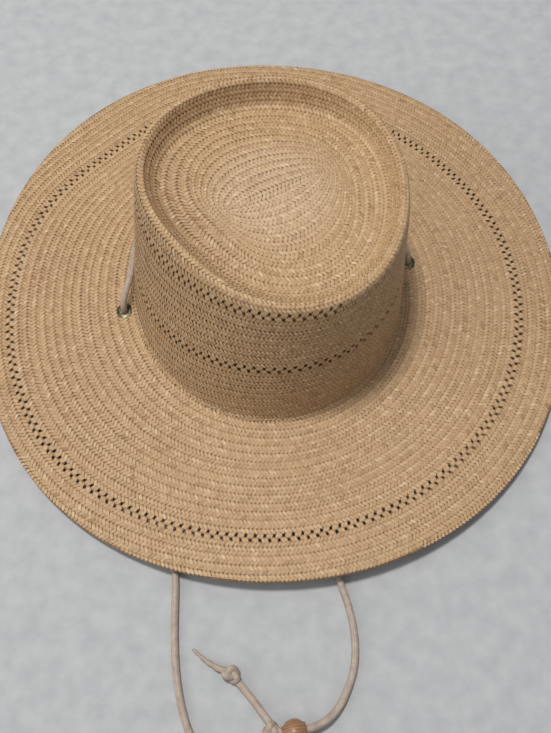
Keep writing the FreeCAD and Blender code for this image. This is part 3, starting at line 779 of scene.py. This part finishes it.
def ground_rows(ground, low, high, spacing, vents):
    """Plain rows between low and high, with a double vent row at each listed place."""
    marks = [low]
    for at, _ in vents:
        marks += np.linspace(marks[-1], at, max(2, int((at - marks[-1]) / spacing)) + 1)[1:].tolist()
        marks += vent_edges(at)[1:]
    marks += np.linspace(marks[-1], high, max(2, int((high - marks[-1]) / spacing)) + 1)[1:].tolist()
    rows = [ground.row(along) for along in marks]
    vent_starts = {}
    for at, openness in vents:
        first = int(np.argmin(np.abs(np.array(marks) - at)))
        vent_starts[first] = (0, openness)
        vent_starts[first + 2] = (1, openness)
    index = 0
    while index < len(rows) - 1:
        if index in vent_starts:
            offset, openness = vent_starts[index]
            ground.vent_row(rows[index], rows[index + 1], rows[index + 2], offset, openness, 1 - 2 * offset)
            index += 2
        else:
            ground.strip(rows[index], rows[index + 1])
            index += 1
    return rows


def vent_pickets(strands, skin, at, columns, warp, side, openness):
    """Three close strands between every two vents of a double row, and one across each closed vent."""
    count = columns // 2
    step = 2 * math.pi / count
    for row, lean in ((0, -0.10), (1, 0.10)):
        low, high = at + row * VENT_ROW_MM, at + (row + 1) * VENT_ROW_MM
        angle = (np.arange(count) + row / 2 + rng.normal(0, 0.015, count)) * step
        closed = np.array([openness(place + step / 2) < CLOSED_VENT for place in angle])
        for spread in (-0.21, 0.0, 0.21, 0.5):
            place = (angle if spread < 0.5 else angle[closed]) + spread * step
            if not len(place):
                continue
            start = np.full(len(place), low - 0.15), place - lean * step
            end = np.full(len(place), high + 0.15), place + lean * step
            start = (start[0] + warp(start[0], start[1]), start[1])
            end = (end[0] + warp(end[0], end[1]), end[1])
            strands.lay(skin, start, end, rng.uniform(0.56, 0.70, len(place)), side=side, dips=(0.3, 0.3))


def band_edges(low, high):
    count = max(int(round((high - low) / BAND_WIDTH)), 1)
    edges = np.linspace(low, high, count + 1)
    edges[1:-1] += rng.normal(0, 0.07, count - 1)
    return edges


def lay_bands(strands, skin, low, high, warp, side=1, first=0, edge=None):
    """Herringbone between two distances; its valleys are at every second edge. Returns the next band's number."""
    edges = band_edges(low, high)
    for number, (start, end) in enumerate(zip(edges[:-1], edges[1:]), start=first):
        even = number % 2 == 0
        # Painted sheen: even bands get a darker tone and odd bands a lighter one, as the two strand directions
        # catch the light differently.
        lay_band(strands, skin, start, end, STRAND_PITCH, (0.85 if even else -0.85) * BAND_WIDTH, warp, side,
                 edge=edge, dips=(0.42, 0.14) if even else (0.14, 0.42), shade=0.40 if even else 0.60)
    return first + len(edges) - 1


def woven_brim(straw, ground_straw):
    strands = Strands()
    for side in (1, -1):
        last = FOOT - (0.2 if side > 0 else 1.2)
        number = lay_bands(strands, BODY, -18, BRIM_VENT_AT, band_warp, side, edge=0.6)
        vent_pickets(strands, BODY, BRIM_VENT_AT, BRIM_COLUMNS, band_warp, side, brim_openness)
        lay_bands(strands, BODY, BRIM_VENT_AT + 2 * VENT_ROW_MM, last, band_warp, side, number)
    piece = strands.make("woven_brim", straw)
    ground = Ground(BODY, BRIM_COLUMNS, held_warp(band_warp, 0.3, BRIM_VENT_AT))
    ground_rows(ground, 0.3, FOOT, 3.0, [(BRIM_VENT_AT, brim_openness)])
    sheet = ground.make("brim_ground", ground_straw)
    join_into(piece, sheet)
    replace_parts(piece, "brim")
    return piece


def woven_crown(straw, ground_straw):
    strands = Strands()
    for side in (1, -1):
        foot = FOOT - (0.2 if side > 0 else 1.0)
        number, start = 0, foot
        for at, openness in zip(WALL_VENTS_AT, (wall_openness, upper_wall_openness)):
            number = lay_bands(strands, BODY, start, at, wall_warp, side, number, edge=foot)
            vent_pickets(strands, BODY, at, CROWN_COLUMNS, wall_warp, side, openness)
            start = at + 2 * VENT_ROW_MM
        lay_bands(strands, BODY, start, len(SURFACE) - 1, wall_warp, side, number)
    piece = strands.make("woven_crown", straw)
    ground = Ground(BODY, CROWN_COLUMNS, held_warp(wall_warp, FOOT, WALL_VENTS_AT[0]))
    ground_rows(ground, FOOT, len(SURFACE) - 1.001, 2.6,
                [(WALL_VENTS_AT[0], wall_openness), (WALL_VENTS_AT[1], upper_wall_openness)])
    sheet = ground.make("crown_ground", ground_straw)
    join_into(piece, sheet)
    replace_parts(piece, "crown")
    return piece


# ---------------------------------------------------------------- hem

def edge_rings(profile):
    """Rings that follow the brim's edge: (inset, height over the edge's lift) places."""
    rings = []
    for inset, height in profile:
        radius = edge_radius(ANGLES) - inset
        rings.append(np.stack([radius * np.cos(ANGLES), radius * np.sin(ANGLES), height + lift(ANGLES)], 1))
    return np.array(rings)


def even_profile(corners, spacing):
    corners = np.array(corners, float)
    along = np.concatenate([[0], np.cumsum(np.linalg.norm(np.diff(corners, axis=0), axis=1))])
    places = np.linspace(0, along[-1], int(along[-1] / spacing) + 1)
    return np.stack([np.interp(places, along, corners[:, 0]), np.interp(places, along, corners[:, 1])], 1)


def folded_hem(straw, ground_straw):
    """The straw turned under the brim's edge: strands over the fold and along the strip below."""
    corners = [(6.2, 0.0), (3.0, 0.0), (0.9, 0.0), (0.25, 0.25), (0.0, 0.9), (0.0, 2.2), (0.1, 3.3),
               (0.45, 3.95), (1.2, 4.25)]
    outside = Skin(edge_rings(even_profile(corners, 1.0)))
    strands = Strands()
    last = len(outside.rings) - 1
    edges = np.linspace(last * 0.06, last, 4)
    for number, (low, high) in enumerate(zip(edges[:-1], edges[1:])):
        lay_band(strands, outside, low, high, STRAND_PITCH, 2.2 if number % 2 else -2.2, crest=-0.03,
                 dips=(0.3, 0.2))
    piece = strands.make("folded_hem", straw)
    ground = Ground(outside, 388)
    rows = [ground.row(along) for along in np.linspace(0, last, 10)]
    for first, second in zip(rows, rows[1:]):
        ground.strip(first, second)
    sheet = ground.make("hem_ground", ground_straw)
    join_into(piece, sheet)
    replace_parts(piece, "brim_hem")
    return piece


# ---------------------------------------------------------------- small round bars: stitches, knots and tips

WIRE_DIAMETER_MM, WIRE_INSET_MM, WIRE_HEIGHT_MM, WIRE_END_GAP = 1.2, 2.4, 1.95, 0.002


def bar(path, radii, sides=8, closed_ends=True):
    """Vertices, faces and uv of a round bar along a path of points, in millimetres."""
    path = np.asarray(path, float)
    radii = np.broadcast_to(radii, len(path))
    tangents = np.gradient(path, axis=0)
    tangents /= np.linalg.norm(tangents, axis=1, keepdims=True)
    side = np.cross(tangents[0], (0.3, 0.2, 1.0))
    vertices, uvs, length = [], [], 0.0
    for index, (point, tangent, radius) in enumerate(zip(path, tangents, radii)):
        side = side - tangent * np.dot(side, tangent)
        side /= np.linalg.norm(side)
        up = np.cross(tangent, side)
        length += np.linalg.norm(point - path[max(index - 1, 0)])
        for step in range(sides):
            turn = 2 * math.pi * step / sides
            vertices.append(point + radius * (math.cos(turn) * side + math.sin(turn) * up))
            uvs.append((length * MM * 2.5, step / sides))
    faces = []
    for ring in range(len(path) - 1):
        for step in range(sides):
            after = (step + 1) % sides
            faces.append((ring * sides + step, ring * sides + after, (ring + 1) * sides + after,
                          (ring + 1) * sides + step))
    if closed_ends:
        faces.append(tuple(range(sides))[::-1])
        faces.append(tuple((len(path) - 1) * sides + step for step in range(sides)))
    return vertices, faces, uvs


def stitch_row(name, nodes, seats, thread, body="hat"):
    """Stitches from one seat to the next but one: each seat is a point with an outward direction."""
    vertices, faces, uvs = [], [], []
    for start, end, out in seats:
        path = []
        for share in (0, 0.12, 0.32, 0.5, 0.68, 0.88, 1):
            bulge = 0.36 * math.sin(math.pi * share) ** 0.6 - 0.22
            path.append(start + (end - start) * share + out * bulge)
        part_vertices, part_faces, part_uvs = bar(path, (0.12, 0.24, 0.28, 0.29, 0.28, 0.24, 0.12), 6)
        offset = len(vertices)
        vertices += part_vertices
        faces += [tuple(offset + index for index in face) for face in part_faces]
        uvs += part_uvs
    piece = make_mesh(name, vertices, faces, thread, body)
    set_uv(piece, uvs)
    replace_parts(piece, *nodes)
    return piece


def seats_along(skin, along, pitch, length, lean=0.0):
    girth = 2 * math.pi * float(skin.radius(np.array(along)))
    count = int(girth / pitch)
    angle = (np.arange(count) + rng.uniform(-0.08, 0.08, count)) * 2 * math.pi / count
    reach = length / girth * 2 * math.pi
    level = np.zeros(count)
    row = np.full(count, float(along))
    start = skin.place(row - lean, angle, level)
    end = skin.place(row + lean, angle + reach, level)
    out = skin.look_up(skin.normals, row, angle)
    return list(zip(start, end, out))


def edge_wire(steel):
    """The wire in the fold of the hem, from its sleeve at the back once round the brim's edge."""
    angle = math.pi / 2 + np.linspace(WIRE_END_GAP, 2 * math.pi - WIRE_END_GAP, 361)
    radius = edge_radius(angle) - WIRE_INSET_MM
    path = np.stack([radius * np.cos(angle), radius * np.sin(angle), WIRE_HEIGHT_MM + lift(angle)], 1)
    vertices, faces, _ = bar(path, WIRE_DIAMETER_MM / 2)
    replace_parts(make_mesh("hem_wire", vertices, faces, steel), "brim_edge_wire")


# ---------------------------------------------------------------- inside the crown

BAND_LOW, BAND_HIGH = 10.8, 42.3
BAND_OUTER_INSET, BAND_THICKNESS = 1.55, 0.9


def wall_ring(height, inset, ripple=0.0):
    rise = (height - CROWN_FOOT) / (CROWN_TOP - CROWN_FOOT)
    x, y = wall_place(rise, inset + ripple, ANGLES)
    return np.stack([x, y, np.broadcast_to(height, x.shape)], 1)


def sweatband(cloth):
    """A cotton band: a rolled top edge, a bound lower edge and slow ripples between."""
    ripple = 0.28 * (wander(ANGLES, 31, 14) * 0.5)
    low, high = BAND_LOW, BAND_HIGH
    places = [(low, BAND_OUTER_INSET + 0.15, 0), (low - 0.05, BAND_OUTER_INSET + 0.8, 0),
              (low + 0.5, BAND_OUTER_INSET + 1.35, 0), (low + 2.2, BAND_OUTER_INSET + 1.4, 0),
              (low + 2.9, BAND_OUTER_INSET + 0.95, 0.1)]
    for share in np.linspace(0.12, 0.9, 12):
        swell = 0.12 * math.sin(math.pi * share)
        places.append((low + (high - low) * share, BAND_OUTER_INSET + BAND_THICKNESS + swell, 1))
    places += [(high - 2.2, BAND_OUTER_INSET + 0.95, 0.6), (high - 1.5, BAND_OUTER_INSET + 1.3, 0.2),
               (high - 0.5, BAND_OUTER_INSET + 1.3, 0), (high, BAND_OUTER_INSET + 0.8, 0),
               (high - 0.1, BAND_OUTER_INSET + 0.15, 0), (low + 8, BAND_OUTER_INSET, 0)]
    rings = [wall_ring(height, inset, -abs(share) * ripple) for height, inset, share in places]
    columns = TURNS // 3
    vertices = np.concatenate([ring[::3] for ring in rings])
    faces, uvs = [], []
    for row in range(len(rings)):
        after_row = (row + 1) % len(rings)
        for column in range(columns):
            after = (column + 1) % columns
            faces.append((row * columns + column, after_row * columns + column,
                          after_row * columns + after, row * columns + after))
    for height, _, _ in places:
        uvs += [(column / columns * 0.58, height * MM) for column in range(columns)]
    piece = make_mesh("cotton_sweatband", vertices, faces, cloth)
    set_uv(piece, uvs)
    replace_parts(piece, "sweatband")
    return piece


LABEL_WIDTH, LABEL_HEIGHT, LABEL_THICKNESS = 24, 16, 0.5
LABEL_TOP_MM = (0, 92.15, 37.6)


def size_label(cloth):
    """A blank woven label: folded side edges, a slightly bellied middle and a soft lower edge."""
    columns, rows = 25, 17
    front, back, uvs = [], [], []
    for row in range(rows):
        for column in range(columns):
            u, v = column / (columns - 1) * 2 - 1, row / (rows - 1)
            corner = 0.9 * max(0, abs(u) - 0.93) / 0.07 * (v > 0.96)
            x = u * LABEL_WIDTH / 2 * (1 - 0.004 * v)
            z = -v * LABEL_HEIGHT + corner
            belly = 0.10 * math.sin(math.pi * v) * (1 - u * u)
            fold = 0.08 if abs(u) > 0.86 else 0.0
            front.append((x, -LABEL_THICKNESS + 0.08 - belly - fold, z))
            back.append((x, -0.06 - belly, z))
            uvs.append((x * MM, z * MM))
    top = np.array(LABEL_TOP_MM)
    vertices = np.concatenate([np.array(front) + top, np.array(back) + top])
    shift = columns * rows
    faces = []
    for row in range(rows - 1):
        for column in range(columns - 1):
            a = row * columns + column
            quad = (a, a + 1, a + columns + 1, a + columns)
            faces.append(quad[::-1])
            faces.append(tuple(shift + index for index in quad))
    rim = ([column for column in range(columns)] + [row * columns + columns - 1 for row in range(1, rows)]
           + [(rows - 1) * columns + column for column in range(columns - 2, -1, -1)]
           + [row * columns for row in range(rows - 2, 0, -1)])
    for start, end in zip(rim, rim[1:] + rim[:1]):
        faces.append((start, end, shift + end, shift + start))
    piece = make_mesh("cloth_label", vertices, faces, cloth, body="label")
    set_uv(piece, uvs + uvs)
    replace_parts(piece, "size_label")
    return piece


def label_seats():
    """Stitches over the label's top edge, back into the band."""
    seats = []
    top = np.array(LABEL_TOP_MM)
    for x in np.arange(-9.6, 9.7, 2.4):
        seats.append((top + (x, -0.05, 0.55), top + (x + 1.5, -0.05, 0.95), np.array((0.0, -1.0, 0.25))))
    return seats


# ---------------------------------------------------------------- knots, bead and tip

def placed(points, middle, turn, tilt=0.0):
    turn, tilt = math.radians(turn), math.radians(tilt)
    points = np.asarray(points, float)
    lean = np.array([[1, 0, 0], [0, math.cos(tilt), -math.sin(tilt)], [0, math.sin(tilt), math.cos(tilt)]])
    spin = np.array([[math.cos(turn), -math.sin(turn), 0], [math.sin(turn), math.cos(turn), 0], [0, 0, 1]])
    return points @ lean.T @ spin.T + np.array(middle)


def knot_path(size, steps=72, lobes=3):
    """The closed, tightened run of an overhand knot, size being its half lengths."""
    t = np.linspace(0, 2 * math.pi, steps)
    x = (np.sin(t) + 2 * np.sin(2 * t)) / 3
    y = (np.cos(t) - 2 * np.cos(2 * t)) / 3
    z = -np.sin(lobes * t)
    return np.stack([x * size[0], y * size[1], z * size[2]], 1)


def make_knot(name, node, size, thickness, middle, turn, tilt, material):
    path = placed(knot_path(size), middle, turn, tilt)
    squeeze = thickness * (1 + 0.06 * np.sin(np.linspace(0, 14, len(path))))
    vertices, faces, uvs = bar(path, squeeze, 14, closed_ends=False)
    piece = make_mesh(name, vertices, faces, material)
    set_uv(piece, uvs)
    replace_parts(piece, node)
    return piece


def tapered_tip(material):
    """The cord beyond the end knot, twisted down to a thin, slightly bent point."""
    shares = np.linspace(0, 1, 40)
    turn = math.radians(TIP_TURN)
    direction = np.array((math.cos(turn), math.sin(turn)))
    across = np.array((-direction[1], direction[0]))
    start = np.array(END_KNOT_MM[:2]) + direction * 3.0
    bend = 1.1 * np.sin(shares * math.pi * 1.15)
    radii = 2.15 - 1.35 * shares ** 0.8 + 0.12 * np.sin(shares * 30)
    radii[-1] = 0.25
    flat = start + direction * (shares * 23.5)[:, None] + across * bend[:, None]
    height = np.maximum(radii + 0.05, 3.9 - 3.4 * np.minimum(shares * 1.4, 1))
    vertices, faces, uvs = bar(np.column_stack([flat, height]), radii, 14)
    vertices = np.array(vertices)
    for ring in range(40):
        twist = np.arange(14) / 14 * 2 * math.pi * 3 + ring * 0.42
        centre = np.append(flat[ring], height[ring])
        part = vertices[ring * 14:(ring + 1) * 14] - centre
        vertices[ring * 14:(ring + 1) * 14] = centre + part * (1 + 0.075 * np.cos(twist))[:, None]
    vertices[:, 2] = np.maximum(vertices[:, 2], 0.02)
    piece = make_mesh("twisted_tip", vertices, faces, material)
    set_uv(piece, uvs)
    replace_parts(piece, "tail_tip")
    return piece


def turned_bead(wood):
    """A turned wooden bead: slightly flattened ends, eased edges round the bore, faint tool rings."""
    half, bore = 6.6, 3.12
    profile = [(-half + 0.45, bore), (-half + 0.05, bore + 0.35), (-half, bore + 0.8)]
    for step in range(1, 24):
        turn = math.pi * step / 24
        x = -math.cos(turn) * half
        radius = 6.93 * math.sin(turn) ** 0.86
        if radius > bore + 0.9:
            profile.append((x * 0.985, radius + 0.025 * math.sin(step * 2.1)))
    profile += [(half, bore + 0.8), (half - 0.05, bore + 0.35), (half - 0.45, bore)]
    sides = 56
    vertices, faces = [], []
    for x, radius in profile:
        for step in range(sides):
            turn = 2 * math.pi * step / sides
            wobble = 1 + 0.006 * math.sin(2 * turn + 0.7)
            vertices.append((x, radius * math.cos(turn) * wobble, radius * math.sin(turn)))
    rows = len(profile)
    for row in range(rows):
        after_row = (row + 1) % rows
        for step in range(sides):
            after = (step + 1) % sides
            faces.append((row * sides + step, after_row * sides + step, after_row * sides + after,
                          row * sides + after))
    vertices = placed(vertices, BEAD_MM, BEAD_TURN)
    piece = make_mesh("turned_bead", vertices, faces, wood, body="bead")
    mesh = bmesh.new()
    mesh.from_mesh(piece.data)
    bmesh.ops.recalc_face_normals(mesh, faces=mesh.faces)
    mesh.to_mesh(piece.data)
    mesh.free()
    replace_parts(piece, "wood_bead")
    return piece


# ---------------------------------------------------------------- floor and light

def make_floor():
    bpy.ops.mesh.primitive_plane_add(size=8)
    floor = bpy.context.object
    floor.name = "floor"
    floor.data.materials.append(floor_material())


def area_light(name, place, size, power, colour, target=(0, 0, 0.04)):
    light = bpy.data.lights.new(name, "AREA")
    light.shape = "DISK"
    light.size = size
    light.energy = power
    light.color = colour
    lamp = bpy.data.objects.new(name, light)
    lamp.location = place
    lamp.rotation_euler = (Vector(target) - Vector(place)).to_track_quat("-Z", "Y").to_euler()
    scene.collection.objects.link(lamp)


def light_the_scene():
    world = bpy.data.worlds.new("room")
    world.use_nodes = True
    world.node_tree.nodes["Background"].inputs["Color"].default_value = (0.90, 0.90, 0.92, 1)
    world.node_tree.nodes["Background"].inputs["Strength"].default_value = 0.36
    scene.world = world
    area_light("window", (-0.22, 0.30, 2.12), 0.35, 34, (1.0, 0.97, 0.93))
    area_light("left_wall", (-1.7, -0.3, 1.0), 1.4, 9, (1.0, 0.96, 0.90))
    scene.view_settings.view_transform = "Standard"
    scene.view_settings.look = "None"


# ---------------------------------------------------------------- making the hat

def repaint(node, material):
    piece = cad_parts[node]
    piece.data.materials.clear()
    piece.data.materials.append(material)


def main():
    make_camera()
    make_floor()
    light_the_scene()

    cord_finish = cord_material("cord", (6.0, 16.0, 1))
    knot_finish = cord_material("cord_knot", (420.0, 14.0, 1))
    straw, ground_straw = straw_material(), ground_material()
    thread, wood = thread_material(), wood_material()

    left = make_cord("cord_left_strand", CORD_LEFT, cord_finish)
    right = make_cord("cord_right_strand", CORD_RIGHT, cord_finish)
    behind = make_cord("cord_behind_crown", CORD_BACK, cord_finish)
    slip_knot = make_knot("slip_knot_turns", "slip_knot", (3.1, 3.4, 1.9), 1.95, SLIP_KNOT_MM, SLIP_KNOT_TURN,
                          0, knot_finish)
    end_knot = make_knot("end_knot_turns", "tail_knot", (4.3, 3.1, 1.7), 1.95, END_KNOT_MM, TIP_TURN, 0,
                         knot_finish)
    tip = tapered_tip(knot_finish)
    bead = turned_bead(wood)
    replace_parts(left, "cord_left")
    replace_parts(right, "cord_right")
    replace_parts(behind, "cord_back")
    route_length(left)
    route_length(right)
    route_length(behind)

    woven_brim(straw, ground_straw)
    woven_crown(straw, ground_straw)
    folded_hem(straw, ground_straw)
    stitch_row("hem_stitches", ["hem_stitching"], seats_along(BODY, 4.6, 3.4, 2.0), thread)
    stitch_row("band_stitches", ["sweatband_stitching"], seats_along(BODY, FOOT + 2.6, 3.6, 2.1), thread)
    sweatband(cloth_material("cotton_band", (0.33, 0.24, 0.15), (0.62, 0.50, 0.35), 1500))
    size_label(cloth_material("woven_tape", (0.60, 0.57, 0.50), (0.86, 0.84, 0.78), 2600))
    stitch_row("label_stitches", ["label_stitching"], label_seats(), thread)

    brass, steel = brass_material(), steel_material()
    for node in ("eyelet_left", "eyelet_right", "washer_left", "washer_right"):
        repaint(node, brass)
    edge_wire(steel)
    repaint("wire_sleeve", steel)


main()
